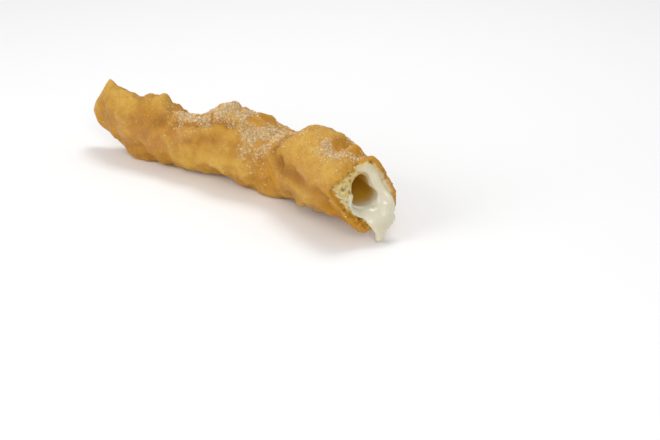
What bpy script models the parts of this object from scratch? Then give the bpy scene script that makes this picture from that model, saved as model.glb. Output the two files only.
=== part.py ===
"""A filled churro: a fried dough tube with a pinched tail and a torn mouth, and the cream inside it.

Metres, +Z up. +X runs from the tail to the mouth, and the origin is under the middle of the box.
The dough lies on the floor on flat spots of its underside.
"""

import math

import bpy
import numpy as np

MM = 0.001

# Driving sizes
LENGTH = 200 * MM  # along the middle line, from the tail to the torn mouth
REAR_HEADING = math.radians(5)  # the rear two thirds point this far to the left of +X
FRONT_HEADING = math.radians(-24)  # and the front third this far to the right
BEND_FROM, BEND_TO = 116 * MM, 160 * MM
GAP = 0.35 * MM  # left between the dough and the cream

# Distance from the tail, height of the top, height of the underside, half width, all in millimetres
STATIONS = (
    (0, 20.8, 19.2, 1.0),
    (2, 25.0, 15.6, 2.6),
    (5, 30.0, 12.2, 4.0),
    (9, 34.8, 9.8, 5.2),
    (12, 36.6, 8.2, 6.4),
    (15, 36.8, 6.8, 8.0),
    (19, 36.0, 4.8, 9.6),
    (25, 35.2, 2.4, 11.2),
    (33, 34.6, 0.0, 13.0),
    (41, 35.6, -0.9, 14.4),
    (51, 35.6, -0.9, 15.2),
    (57, 31.2, 0.4, 15.0),
    (64, 30.4, 1.6, 14.6),
    (74, 32.0, 2.2, 14.6),
    (86, 37.4, 2.8, 16.0),
    (97, 41.0, 2.4, 17.4),
    (103, 38.0, 1.2, 18.0),
    (110, 37.8, -0.5, 18.4),
    (117, 36.0, -0.9, 18.4),
    (127, 32.8, -0.9, 17.6),
    (137, 33.6, -0.6, 17.0),
    (147, 39.0, 0.4, 17.8),
    (158, 42.2, 2.0, 18.4),
    (170, 42.0, 4.4, 18.2),
    (182, 40.0, 6.4, 17.8),
    (192, 39.2, 7.4, 17.9),
    (200, 38.8, 8.2, 18.1),
)

# The cavity through the dough: distance from the tail, half width, half height
CAVITY_STATIONS = (
    (30, 2.5, 3.0),
    (34, 5.5, 6.5),
    (46, 7.5, 8.5),
    (100, 8.8, 9.2),
    (160, 8.8, 9.4),
    (186, 8.6, 9.2),
    (200, 7.4, 8.2),
)
MOUTH_SHAPE = (  # turn, radius of the cavity where it opens
    (0, 8.2),
    (20, 7.4),
    (46, 6.8),
    (77, 6.2),
    (106, 6.7),
    (128, 9.6),
    (151, 9.8),
    (184, 9.4),
    (213, 9.2),
    (246, 8.4),
    (270, 7.3),
    (297, 6.9),
    (327, 7.4),
    (344, 8.1),
)
CAVITY_FROM, OPENING_FROM = 30 * MM, 180 * MM
CAVITY_ASIDE = 2.2 * MM  # the cavity lies off the middle, away from the thick near wall
CAVITY_UP = 0.4 * MM

# Lumps of the skin: distance, turn from the top towards the near side, reach along, reach round, height
LUMPS = (
    (51, 6, 4, 6, 2.6),
    (43.5, 0, 4.5, 8, -2.0),
    (53, -33, 4.5, 6, -2.6),
    (188, 98, 7, 5, -2.2),
    (198, 141, 7, 7, -3.6),
    (203, 180, 6, 6, 3.2),
    (203, -120, 5, 8, 1.7),
    (33, 60, 9, 9, 1.2),
    (42, 115, 8, 7, -1.5),
    (67, 75, 10, 9, 1.4),
    (97, 8, 8, 8, 2.2),
    (89, 62, 14, 6, -1.4),
    (98.5, -24, 5, 7, -2.8),
    (106, -22, 6, 7, -1.5),
    (119, -36, 6, 6, -2.3),
    (129, -18, 5, 6, -1.3),
    (113, -16, 4.5, 5.5, 1.0),
    (109, 80, 12, 8, 1.2),
    (113, 138, 15, 9, 0.6),
    (145, 128, 12, 6, 2.2),
    (152, 5, 5, 7, 3.2),
    (155, 60, 16, 12, 2.4),
    (167, 0, 7, 6, 2.2),
    (171.5, -13, 3.6, 4.5, 1.8),
    (177, -12, 4, 6, -2.2),
    (178, -38, 8, 12, -2.4),
    (184, -18, 3.6, 4, 3.0),
    (188, -22, 2.2, 4, -2.0),
    (194.5, -31, 5, 6, 3.0),
    (196, -70, 10, 14, -2.4),
    (173, 95, 12, 10, 1.2),
    (69, -95, 12, 10, 1.8),
    (99, -95, 10, 9, -1.6),
    (121, -72, 12, 9, 2.2),
    (137, -110, 8, 9, -2.0),
    (159, -85, 13, 11, 2.2),
    (39, -80, 9, 9, 1.4),
    (79, 150, 12, 8, 1.2),
    (79, -150, 14, 8, 1.4),
)

HORN_AT, HORN_RISE, HORN_REACH = 12.6 * MM, 4.4 * MM, 5.2 * MM  # the pinched tip on top of the tail

# Folds, each a row of (distance, turn) that its bottom follows, then its depth and its width
FOLDS = (
    (((141, -120), (143, -70), (148, -15), (148, 18), (138, 40), (135, 51), (140, 64), (151, 77)), 2.3, 2.4),
    (((148, 74), (158, 83), (170, 89), (183, 93), (192, 104), (192, 125)), 2.0, 3.6),
    (((66, 38), (80, 44), (93, 44), (106, 37)), 1.8, 1.9),
    (((61, -30), (59, 10), (55, 50), (49, 85)), 1.4, 3.0),
    (((99, 20), (109, 5), (107, -40), (97, -80)), 1.4, 2.6),
    (((33, -20), (39, 30), (45, 62)), 0.9, 2.4),
)

# Soft random relief of the skin: wavelength and height
RIPPLES = ((26, 0.7), (13, 0.55), (7, 0.3))
RIPPLE_WAVES = 28
FULL_GIRTH = 12 * MM  # the relief fades where the dough is thinner than this

# The torn mouth: how far forward the crust reaches, and how far it rolls in over its last stretch, by turn
TORN_EDGE = (
    (0, -6.0),
    (15, -4.0),
    (30, -1.4),
    (45, 0.2),
    (60, -0.8),
    (75, -3.6),
    (86, -3.0),
    (100, 1.0),
    (115, 3.8),
    (130, 4.8),
    (150, 5.6),
    (180, 6.0),
    (200, 6.3),
    (220, 5.9),
    (250, 4.0),
    (270, 2.0),
    (300, -1.3),
    (320, -3.3),
    (340, -5.0),
)
ROLLED_IN = (
    (0, 0.8),
    (30, 1.6),
    (60, 1.0),
    (80, 0.2),
    (105, 1.6),
    (130, 2.8),
    (160, 2.8),
    (190, 2.0),
    (220, 1.2),
    (260, 0.8),
    (310, 0.8),
    (340, 0.6),
)
TORN_WAVES = ((7, 0.45, 1.0), (12, 0.3, 5.0))  # waves round the edge, height, phase
ROLL_FROM = 5 * MM
CAVITY_TILT, CAVITY_TILT_TURN = 2.8 * MM, math.radians(18.5)
RIM_ROWS = 4
RIM_SLOPE = 1.0 * MM  # how far the crumb falls back from the crust to the cavity
RIM_SWELL, RIM_UNEVEN = 0.9 * MM, 0.25

# The cream: a lining that fills the cavity behind the hollow, and a tongue over the lower lip
FILM = 0.7 * MM
LINING_OVERLAP = 1.0 * MM  # into the dough, which then trims it
HOLLOW_FROM, HOLLOW_CLOSED = 140 * MM, 122 * MM  # the lining starts to thicken, and fills the cavity
LINING_EDGE = 0.9 * MM  # how far behind the torn edge the lining ends
POOL_DEPTH = 1.6 * MM
SIDE_DEPTH = 2.6 * MM
SIDE_TURN, SIDE_REACH = math.radians(-60), math.radians(42)
SHUT_SHARE, LEAST_HOLLOW = 0.95, 0.06  # of the way to the cavity's middle

# The cream on the torn face: turn, outer edge and inner edge as shares of the face, thickness
COAT = (
    (10, 0.30, 0.80, 0.5),
    (0, 0.12, 0.94, 1.0),
    (-14, 0.08, 1.08, 1.4),
    (-32, 0.34, 1.24, 1.5),
    (-54, 0.56, 1.34, 1.5),
    (-78, 0.62, 1.36, 1.5),
    (-94, 0.50, 1.30, 1.6),
    (-108, 0.20, 1.24, 1.9),
    (-126, 0.02, 1.22, 2.4),
    (-150, -0.04, 1.24, 2.7),
    (-170, 0.08, 1.24, 2.4),
    (-182, 0.44, 1.22, 2.1),
    (-196, 0.56, 1.18, 1.7),
    (-214, 0.56, 1.12, 1.4),
    (-232, 0.58, 1.10, 1.3),
    (-252, 0.70, 1.08, 1.2),
    (-266, 0.80, 1.06, 1.0),
)

# The tongue's path from inside the mouth: distance past it, height, how far aside to the far side,
# half width and half thickness
TONGUE_STATIONS = (
    (-10, 14.4, 5.4, 4.0, 1.6),
    (-6, 14.4, 5.4, 6.8, 2.4),
    (-1, 14.4, 6.2, 7.8, 2.6),
    (3.4, 13.4, 7.0, 7.4, 2.4),
    (6.0, 11.4, 7.2, 7.8, 2.2),
    (7.6, 9.2, 7.0, 6.4, 2.0),
    (8.4, 7.4, 6.2, 4.4, 1.8),
    (8.5, 5.8, 5.7, 2.8, 1.8),
    (8.4, 4.6, 5.5, 2.2, 1.8),
    (8.2, 3.4, 5.4, 2.0, 2.0),
    (8.1, 2.0, 5.4, 2.0, 1.9),
    (8.1, 1.3, 5.4, 1.0, 0.9),
)

# Facets
DOUGH_COLUMNS = 46
OUTER_ROWS = 86
TAIL_SHIFT, TAIL_SHARE = 0.055, 0.05  # how far the rows crowd towards the tail, as shares of the length
CAVITY_ROWS = 12
HOLLOW_ROWS = 10
TONGUE_COLUMNS = 20
TONGUE_ROWS = 26
COLLAR_COLUMNS = 14
COLLAR_ROWS = 24

DOUGH_COLOUR = (0.60, 0.33, 0.075, 1.0)
CREAM_COLOUR = (0.80, 0.74, 0.56, 1.0)


def smooth_through(table, column, where):
    """A column of a table of millimetres, read at distances by cubic pieces that never overshoot."""
    rows = np.array(table, float) * MM
    x, y = rows[:, 0], rows[:, column]
    step = np.diff(x)
    slope = np.diff(y) / step
    ends = np.zeros(len(x))
    same_way = slope[:-1] * slope[1:] > 0
    weight = step[:-1] + step[1:]
    with np.errstate(divide="ignore", invalid="ignore"):
        mean = 3 * weight / ((weight + step[1:]) / slope[:-1] + (weight + step[:-1]) / slope[1:])
    ends[1:-1] = np.where(same_way, mean, 0.0)
    ends[0], ends[-1] = slope[0], slope[-1]
    where = np.clip(where, x[0], x[-1])
    i = np.clip(np.searchsorted(x, where, side="right") - 1, 0, len(step) - 1)
    t = (where - x[i]) / step[i]
    return (
        y[i] * (1 + 2 * t) * (1 - t) ** 2
        + y[i + 1] * (3 - 2 * t) * t**2
        + step[i] * (ends[i] * t * (1 - t) ** 2 - ends[i + 1] * t**2 * (1 - t))
    )


def ease(x):
    """0 below 0, 1 above 1, and smooth between."""
    x = np.clip(x, 0, 1)
    return x * x * (3 - 2 * x)


def middle_line(s):
    """Plan position and heading of the dough's middle line, its heading turning smoothly at the bend."""
    fine = np.linspace(0, 1.1 * LENGTH, 900)

    def heading(at):
        return REAR_HEADING + (FRONT_HEADING - REAR_HEADING) * ease((at - BEND_FROM) / (BEND_TO - BEND_FROM))

    step = fine[1] - fine[0]
    x = np.concatenate([[0], np.cumsum(np.cos(heading(fine[:-1] + step / 2)) * step)])
    y = np.concatenate([[0], np.cumsum(np.sin(heading(fine[:-1] + step / 2)) * step)])
    return np.interp(s, fine, x), np.interp(s, fine, y), heading(s)


def placed(s, aside, height):
    """Points at a distance along the middle line, aside from it to the left, and at a height."""
    x, y, heading = middle_line(s)
    return np.stack([x - aside * np.sin(heading), y + aside * np.cos(heading), height], -1)


def ripple(points, wavelength, start):
    """Soft random relief: the sum of plane waves whose directions go round a Fibonacci sphere."""
    k = np.arange(RIPPLE_WAVES) + 0.5
    polar = np.arccos(1 - 2 * k / RIPPLE_WAVES)
    turn = math.pi * (1 + math.sqrt(5)) * k + start
    ways = np.stack([np.cos(turn) * np.sin(polar), np.sin(turn) * np.sin(polar), np.cos(polar)], 1)
    lengths = wavelength * (0.75 + 0.5 * ((0.618 * k + start) % 1))
    phases = 2 * math.pi * ((0.754 * k * k + 0.37 * start) % 1)
    waves = np.sin(points @ (2 * math.pi * ways / lengths[:, None]).T + phases)
    return waves.sum(-1) * math.sqrt(2 / RIPPLE_WAVES)


def fold_distance(s, turn, girth, path):
    """Distance over the skin from a fold's path, a smooth line through its (distance, turn) points."""
    knots = np.array(path, float)
    count = 8 * (len(knots) - 1) + 1
    at = np.linspace(0, len(knots) - 1, count)
    steps = np.stack([1000.0 * np.arange(len(knots)), *(1000.0 * knots.T)], 1)
    along = smooth_through(steps, 1, at) * MM
    round_it = np.radians(smooth_through(steps, 2, at))
    nearest = np.full(s.shape, 1.0)
    for i in range(count - 1):
        ds, dt = along[i + 1] - along[i], (round_it[i + 1] - round_it[i]) * girth
        us, ut = s - along[i], wrapped(turn - round_it[i]) * girth
        share = np.clip((us * ds + ut * dt) / (ds * ds + dt * dt), 0, 1)
        nearest = np.minimum(nearest, np.hypot(us - share * ds, ut - share * dt))
    return nearest


def wrapped(turn):
    """A turn brought between minus and plus half a circle."""
    return (turn + math.pi) % (2 * math.pi) - math.pi


def relief(s, turn, girth, points):
    """Height of the lumps, folds and ripples over the plain skin."""
    height = np.zeros(s.shape)
    for distance, at, reach, reach_round, rise in LUMPS:
        along = (s - distance * MM) / (reach * MM)
        around = wrapped(turn - math.radians(at)) * girth / (reach_round * MM)
        height += rise * MM * np.exp(-(along**2) - around**2)
    from_horn = np.hypot(s - HORN_AT, wrapped(turn) * girth) / HORN_REACH
    height += HORN_RISE * np.clip(1 - from_horn, 0, 1) ** 1.3
    for path, depth, width in FOLDS:
        height -= depth * MM * np.exp(-((fold_distance(s, turn, girth, path) / (width * MM)) ** 2))
    for number, (wavelength, rise) in enumerate(RIPPLES):
        height += rise * MM * ripple(points, wavelength * MM, 1.7 * number)
    return height * ease(girth / FULL_GIRTH)


def round_it(table, turn):
    """A value of a table of degrees and millimetres, read at each turn."""
    degrees, values = np.array(table, float).T
    return np.interp(np.degrees(turn) % 360, degrees, values, period=360) * MM


def torn(turn):
    """How far the torn edge stands forward at each turn."""
    waves = sum(height * MM * np.sin(count * turn + phase) for count, height, phase in TORN_WAVES)
    return round_it(TORN_EDGE, turn) + waves


def cavity_forward(turn):
    """How far the cavity's own edge stands forward, on a plane that leans back at the top."""
    return -CAVITY_TILT * np.cos(turn - CAVITY_TILT_TURN) - RIM_SLOPE


def outer_skin(s, turn, grow=0.0):
    """The outside of the dough: an ellipse at each distance, with the relief added outwards."""
    top = smooth_through(STATIONS, 1, s)
    under = smooth_through(STATIONS, 2, s)
    half = smooth_through(STATIONS, 3, s)
    middle, tall = (top + under) / 2, (top - under) / 2
    girth = (half + tall) / 2
    aside, up = -half * np.sin(turn), tall * np.cos(turn)
    out = np.stack([-np.sin(turn) * tall, np.cos(turn) * half], -1)
    out /= np.linalg.norm(out, axis=-1, keepdims=True)
    plain = placed(s, aside, middle + up)
    over_roll = np.clip((s - LENGTH - torn(turn) + ROLL_FROM) / ROLL_FROM, 0, 1)
    rise = relief(s, turn, girth, plain) + grow - round_it(ROLLED_IN, turn) * over_roll**2
    return placed(s, aside + out[..., 0] * rise, middle + up + out[..., 1] * rise)


def cavity_wall(s, turn, grow=0.0):
    """The inside of the dough, at the same turns as the outside: an ellipse that swells a little, and takes
    the opening's own shape near the mouth. Growth makes the cavity smaller."""
    middle = (smooth_through(STATIONS, 1, s) + smooth_through(STATIONS, 2, s)) / 2
    opening = ease((s - OPENING_FROM) / (LENGTH - OPENING_FROM))
    uneven = 1 + 0.05 * np.sin(3 * turn + s / (9 * MM)) + 0.04 * np.sin(2 * turn - s / (14 * MM))
    mouth = round_it(MOUTH_SHAPE, turn) * opening - grow
    wide = smooth_through(CAVITY_STATIONS, 1, s) * uneven * (1 - opening) + mouth
    tall = smooth_through(CAVITY_STATIONS, 2, s) * uneven * (1 - opening) + mouth
    return placed(s, CAVITY_ASIDE - wide * np.sin(turn), middle + CAVITY_UP + tall * np.cos(turn))


def turns(count):
    """Turns round the dough, from the top towards the near side."""
    return np.arange(count) * 2 * math.pi / count


def grid(along, turn):
    """Distances and turns as a grid of rings."""
    return np.meshgrid(along, turn, indexing="ij")


def outer_distances(rows):
    """Ring distances that start close together at the tail and then keep their spacing."""
    share = np.linspace(0, 1, rows)
    closer = TAIL_SHIFT * (1 - np.exp(-share / TAIL_SHARE)) * (1 - share)
    return LENGTH * (share - closer)


def dough_rings(grow=0.0):
    """Rings of the dough from the tail over the torn rim and back down the cavity."""
    s, turn = grid(outer_distances(OUTER_ROWS), turns(DOUGH_COLUMNS))
    forward = torn(turn) * (s / LENGTH) ** 10
    outer = outer_skin(s + forward, turn, grow)
    heading = middle_line(np.array(LENGTH))[2]
    axis = np.array([math.cos(heading), math.sin(heading), 0.0])
    crust = outer[-1] + axis * grow
    inside, inner_turn = grid(np.linspace(LENGTH, CAVITY_FROM, CAVITY_ROWS), turns(DOUGH_COLUMNS))
    cavity = cavity_wall(inside + cavity_forward(inner_turn) * (inside / LENGTH) ** 10, inner_turn, grow)
    edge = cavity[0] + axis * grow
    rim = []
    for row in range(1, RIM_ROWS + 1):
        share = row / (RIM_ROWS + 1)
        uneven = 1 + RIM_UNEVEN * np.sin(9 * turns(DOUGH_COLUMNS) + 3 * row)
        swell = RIM_SWELL * math.sin(math.pi * share) * uneven
        rim.append(crust + (edge - crust) * share + axis * swell[:, None])
    outer[-1] = crust
    cavity[0] = edge
    return np.concatenate([outer, rim, cavity])


def closed_mesh(name, rings):
    """A mesh through rings of points, with a fan over the first and the last ring."""
    rows, columns = rings.shape[:2]
    points = [*rings.reshape(-1, 3), rings[0].mean(0), rings[-1].mean(0)]
    first, last = rows * columns, rows * columns + 1
    faces = []
    for i in range(columns):
        j = (i + 1) % columns
        faces.append((first, j, i))
        faces.append((last, (rows - 1) * columns + i, (rows - 1) * columns + j))
        for row in range(rows - 1):
            low, high = row * columns, (row + 1) * columns
            faces.append((low + i, low + j, high + j))
            faces.append((low + i, high + j, high + i))
    mesh = bpy.data.meshes.new(name)
    mesh.from_pydata([tuple(p) for p in points], [], faces)
    mesh.update()
    return mesh


def on_floor(rings):
    """Whatever would reach below the floor is pressed flat on it."""
    rings[..., 2] = np.maximum(rings[..., 2], 0.0)
    return rings


def lining_rings():
    """Rings of the cream in the cavity: its outside to the mouth, then the hollow's surface back. The
    hollow is the wall drawn in by a film, by a pool below and a bank beside it, and shut at its end."""
    turn_row = turns(DOUGH_COLUMNS)
    s, turn = grid(np.linspace(CAVITY_FROM + 1.5 * MM, LENGTH, CAVITY_ROWS), turn_row)
    edge = (cavity_forward(turn) - LINING_EDGE) * (s / LENGTH) ** 10
    outside = cavity_wall(s + edge, turn, -LINING_OVERLAP)
    s, turn = grid(np.linspace(LENGTH, HOLLOW_CLOSED, HOLLOW_ROWS), turn_row)
    s = s + (cavity_forward(turn) - LINING_EDGE) * (s / LENGTH) ** 10
    wall = cavity_wall(s, turn)
    middle = wall.mean(1, keepdims=True)
    reach = np.linalg.norm(wall - middle, axis=-1)
    below = np.maximum(0, -np.cos(turn)) ** 2
    beside = np.exp(-((wrapped(turn - SIDE_TURN) / SIDE_REACH) ** 2))
    shut = ease((HOLLOW_FROM - s) / (HOLLOW_FROM - HOLLOW_CLOSED))
    depth = FILM + POOL_DEPTH * below + SIDE_DEPTH * beside + SHUT_SHARE * reach * shut
    left = np.clip(1 - depth / reach, LEAST_HOLLOW, 1)
    hollow = middle + (wall - middle) * left[..., None]
    return np.concatenate([outside, hollow])


def tongue_rings():
    """Rings of the cream that runs over the lower lip and hangs in a drop."""
    count = len(TONGUE_STATIONS)
    steps = [(1000.0 * i, *(1000.0 * value for value in row)) for i, row in enumerate(TONGUE_STATIONS)]
    at = np.linspace(0, count - 1, TONGUE_ROWS)
    past, height, beside, wide, thick = (smooth_through(steps, column, at) * MM for column in range(1, 6))
    run, rise = np.gradient(past), np.gradient(height)
    length = np.hypot(run, rise)
    turn = turns(TONGUE_COLUMNS)
    aside = wide[:, None] * np.cos(turn)
    across = -thick[:, None] * np.sin(turn)
    s = LENGTH + past[:, None] - across * (rise / length)[:, None]
    z = height[:, None] + across * (run / length)[:, None]
    return placed(s, beside[:, None] - aside, z)


def collar_rings():
    """Rings of the cream on the torn face: a flat sausage bent round the mouth, along the face's swell."""
    heading = middle_line(np.array(LENGTH))[2]
    axis = np.array([math.cos(heading), math.sin(heading), 0.0])
    steps = [(1000.0 * i, *(1000.0 * value for value in row)) for i, row in enumerate(COAT)]
    at = np.linspace(0, len(COAT) - 1, COLLAR_ROWS)
    turn, outer, inner, thick = (smooth_through(steps, column, at)[:, None] for column in range(1, 5))
    turn = np.radians(turn)
    crust = outer_skin(LENGTH + torn(turn), turn)
    edge = cavity_wall(LENGTH + cavity_forward(turn), turn)
    round_it = turns(COLLAR_COLUMNS)[None]
    share = (outer + inner) / 2 + (outer - inner) / 2 * np.cos(round_it)
    forward = 0.8 * RIM_SWELL * np.sin(math.pi * np.clip(share, 0, 1)) + thick * MM * np.sin(round_it)
    return crust + (edge - crust) * share[..., None] + axis * forward[..., None]


def painted(name, colour, roughness):
    """A plain finish for one piece."""
    material = bpy.data.materials.new(name)
    material.use_nodes = True
    shader = material.node_tree.nodes["Principled BSDF"]
    shader.inputs["Base Color"].default_value = colour
    shader.inputs["Roughness"].default_value = roughness
    return material


def added(name, mesh, collection, material=None):
    """An object in a collection, smoothly shaded."""
    obj = bpy.data.objects.new(name, mesh)
    mesh.shade_smooth()
    if material:
        mesh.materials.append(material)
    collection.objects.link(obj)
    return obj


def changed_by(obj, operation, other):
    """A Boolean modifier on an object."""
    modifier = obj.modifiers.new(operation.lower(), "BOOLEAN")
    modifier.operation = operation
    modifier.object = other
    modifier.solver = "EXACT"


def as_cutter(obj):
    """A helper that is cut or joined with, and never shown."""
    obj.hide_render = True
    obj.display_type = "WIRE"


def main():
    for obj in list(bpy.data.objects):
        bpy.data.objects.remove(obj)
    churro = bpy.data.collections.new("churro")
    cutters = bpy.data.collections.new("cutters")
    for collection in (churro, cutters):
        bpy.context.scene.collection.children.link(collection)

    rings = on_floor(dough_rings())
    pieces = (rings, tongue_rings(), collar_rings())
    everything = np.concatenate([piece.reshape(-1, 3) for piece in pieces])
    low, high = everything.min(0), everything.max(0)
    middle = np.array([(low[0] + high[0]) / 2, (low[1] + high[1]) / 2, 0.0])
    added("dough", closed_mesh("dough", rings - middle), churro, painted("fried dough", DOUGH_COLOUR, 0.5))

    finish = painted("cream", CREAM_COLOUR, 0.2)
    cream = added("cream", closed_mesh("cream", lining_rings() - middle), churro, finish)
    tongue = added("tongue", closed_mesh("tongue", tongue_rings() - middle), cutters)
    collar = added("collar", closed_mesh("collar", collar_rings() - middle), cutters)
    trim = added("dough_grown", closed_mesh("dough_grown", dough_rings(GAP) - middle), cutters)
    for helper in (tongue, collar, trim):
        as_cutter(helper)
    changed_by(cream, "UNION", tongue)
    changed_by(cream, "UNION", collar)
    changed_by(cream, "DIFFERENCE", trim)


main()
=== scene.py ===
"""The looks of a filled churro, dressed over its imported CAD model.

Metres, +Z up. +X runs from the tail to the mouth, and the camera stands on the -Y side.
"""

import math

import bpy
import numpy as np
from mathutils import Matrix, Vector


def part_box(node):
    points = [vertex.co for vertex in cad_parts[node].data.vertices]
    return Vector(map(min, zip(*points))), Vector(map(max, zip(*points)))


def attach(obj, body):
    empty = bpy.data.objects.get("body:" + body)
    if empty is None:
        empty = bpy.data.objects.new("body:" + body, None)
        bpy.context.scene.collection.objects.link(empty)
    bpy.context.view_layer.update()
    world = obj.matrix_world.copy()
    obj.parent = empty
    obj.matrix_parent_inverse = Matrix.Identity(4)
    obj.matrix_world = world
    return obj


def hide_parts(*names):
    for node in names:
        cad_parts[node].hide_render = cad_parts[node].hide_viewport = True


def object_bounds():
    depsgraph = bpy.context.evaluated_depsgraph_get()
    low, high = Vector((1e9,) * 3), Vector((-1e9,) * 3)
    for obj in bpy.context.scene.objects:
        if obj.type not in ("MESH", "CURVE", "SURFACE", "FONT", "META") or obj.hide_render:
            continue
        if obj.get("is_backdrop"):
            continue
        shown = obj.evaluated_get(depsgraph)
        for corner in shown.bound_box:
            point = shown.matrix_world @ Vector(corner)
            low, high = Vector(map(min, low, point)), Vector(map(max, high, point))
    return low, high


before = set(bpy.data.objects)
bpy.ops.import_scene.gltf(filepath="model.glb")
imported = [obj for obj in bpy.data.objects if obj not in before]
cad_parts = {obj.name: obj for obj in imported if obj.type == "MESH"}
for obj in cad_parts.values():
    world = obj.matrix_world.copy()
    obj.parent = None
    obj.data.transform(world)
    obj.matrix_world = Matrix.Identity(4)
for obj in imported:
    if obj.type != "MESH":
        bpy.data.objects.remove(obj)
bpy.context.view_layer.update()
MM = 0.001


# The dough: a thick tube of soft batter, piped, pinched at the tail and fried. It is golden and lumpy, with
# creases where it bent in the oil. The front end is torn across, and shows the crumb and the cavity in it.

LENGTH = 200 * MM
REAR_HEADING, FRONT_HEADING = math.radians(5), math.radians(-24)
BEND_FROM, BEND_TO = 116 * MM, 160 * MM

# Distance from the tail, height of the top, height of the underside, half width, all in millimetres
STATIONS = (
    (0, 20.8, 19.2, 1.0),
    (2, 25.0, 15.6, 2.6),
    (5, 30.0, 12.2, 4.0),
    (9, 34.8, 9.8, 5.2),
    (12, 36.6, 8.2, 6.4),
    (15, 36.8, 6.8, 8.0),
    (19, 36.0, 4.8, 9.6),
    (25, 35.2, 2.4, 11.2),
    (33, 34.6, 0.0, 13.0),
    (41, 35.6, -0.9, 14.4),
    (51, 35.6, -0.9, 15.2),
    (57, 31.2, 0.4, 15.0),
    (64, 30.4, 1.6, 14.6),
    (74, 32.0, 2.2, 14.6),
    (86, 37.4, 2.8, 16.0),
    (97, 41.0, 2.4, 17.4),
    (103, 38.0, 1.2, 18.0),
    (110, 37.8, -0.5, 18.4),
    (117, 36.0, -0.9, 18.4),
    (127, 32.8, -0.9, 17.6),
    (137, 33.6, -0.6, 17.0),
    (147, 39.0, 0.4, 17.8),
    (158, 42.2, 2.0, 18.4),
    (170, 42.0, 4.4, 18.2),
    (182, 40.0, 6.4, 17.8),
    (192, 39.2, 7.4, 17.9),
    (200, 38.8, 8.2, 18.1),
)
CAVITY_STATIONS = (  # distance, half width, half height
    (30, 2.5, 3.0),
    (34, 5.5, 6.5),
    (46, 7.5, 8.5),
    (100, 8.8, 9.2),
    (160, 8.8, 9.4),
    (186, 8.6, 9.2),
    (200, 7.4, 8.2),
)
MOUTH_SHAPE = (  # turn, radius of the cavity where it opens
    (0, 8.2),
    (20, 7.4),
    (46, 6.8),
    (77, 6.2),
    (106, 6.7),
    (128, 9.6),
    (151, 9.8),
    (184, 9.4),
    (213, 9.2),
    (246, 8.4),
    (270, 7.3),
    (297, 6.9),
    (327, 7.4),
    (344, 8.1),
)
CAVITY_FROM, OPENING_FROM, CAVITY_ASIDE, CAVITY_UP = 30 * MM, 180 * MM, 2.2 * MM, 0.4 * MM
CAVITY_UNEVEN = ((3, 9, 0.05), (2, -14, 0.04))  # sines round it, distance over which each turns, share

# Lumps: distance, turn from the top towards the near side, reach along, reach round, height
LUMPS = (
    (51, 6, 4, 6, 2.6),
    (43.5, 0, 4.5, 8, -2.0),
    (53, -33, 4.5, 6, -2.6),
    (188, 98, 7, 5, -2.2),
    (198, 141, 7, 7, -3.6),
    (203, 180, 6, 6, 3.2),
    (203, -120, 5, 8, 1.7),
    (33, 60, 9, 9, 1.2),
    (42, 115, 8, 7, -1.5),
    (67, 75, 10, 9, 1.4),
    (97, 8, 8, 8, 2.2),
    (89, 62, 14, 6, -1.4),
    (98.5, -24, 5, 7, -2.8),
    (106, -22, 6, 7, -1.5),
    (119, -36, 6, 6, -2.3),
    (129, -18, 5, 6, -1.3),
    (113, -16, 4.5, 5.5, 1.0),
    (109, 80, 12, 8, 1.2),
    (113, 138, 15, 9, 0.6),
    (145, 128, 12, 6, 2.2),
    (152, 5, 5, 7, 3.2),
    (155, 60, 16, 12, 2.4),
    (167, 0, 7, 6, 2.2),
    (171.5, -13, 3.6, 4.5, 1.8),
    (177, -12, 4, 6, -2.2),
    (178, -38, 8, 12, -2.4),
    (184, -18, 3.6, 4, 3.0),
    (188, -22, 2.2, 4, -2.0),
    (194.5, -31, 5, 6, 3.0),
    (196, -70, 10, 14, -2.4),
    (173, 95, 12, 10, 1.2),
    (69, -95, 12, 10, 1.8),
    (99, -95, 10, 9, -1.6),
    (121, -72, 12, 9, 2.2),
    (137, -110, 8, 9, -2.0),
    (159, -85, 13, 11, 2.2),
    (39, -80, 9, 9, 1.4),
    (79, 150, 12, 8, 1.2),
    (79, -150, 14, 8, 1.4),
)

# The pinched tip on top of the tail: place, rise, reach, and the power that points it
HORN_AT, HORN_RISE, HORN_REACH, HORN_POINT = 12.6 * MM, 4.4 * MM, 5.2 * MM, 1.3

# Folds: the (distance, turn) points that each one's bottom follows, its depth and its width
FOLDS = (
    (
        ((141, -120), (143, -70), (148, -15), (148, 18), (138, 40), (135, 51), (140, 64), (151, 77)),
        2.3,
        2.4,
    ),
    (((148, 74), (158, 83), (170, 89), (183, 93), (192, 104), (192, 125)), 2.0, 3.6),
    (((66, 38), (80, 44), (93, 44), (106, 37)), 1.8, 1.9),
    (((61, -30), (59, 10), (55, 50), (49, 85)), 1.4, 3.0),
    (((99, 20), (109, 5), (107, -40), (97, -80)), 1.4, 2.6),
    (((33, -20), (39, 30), (45, 62)), 0.9, 2.4),
)
# DEEPEST_FOLD is the fold depth at which the painted shade in a fold is full
FOLD_PIECES, DEEPEST_FOLD = 8, 2.4  # straight pieces between two points, and the depth that darkens fully
RIPPLES = ((26, 0.7), (13, 0.55), (7, 0.3))  # wavelength and height of the soft random relief
SLIM = 12 * MM  # the relief fades out where the girth is under this, towards the tail's tip

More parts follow.
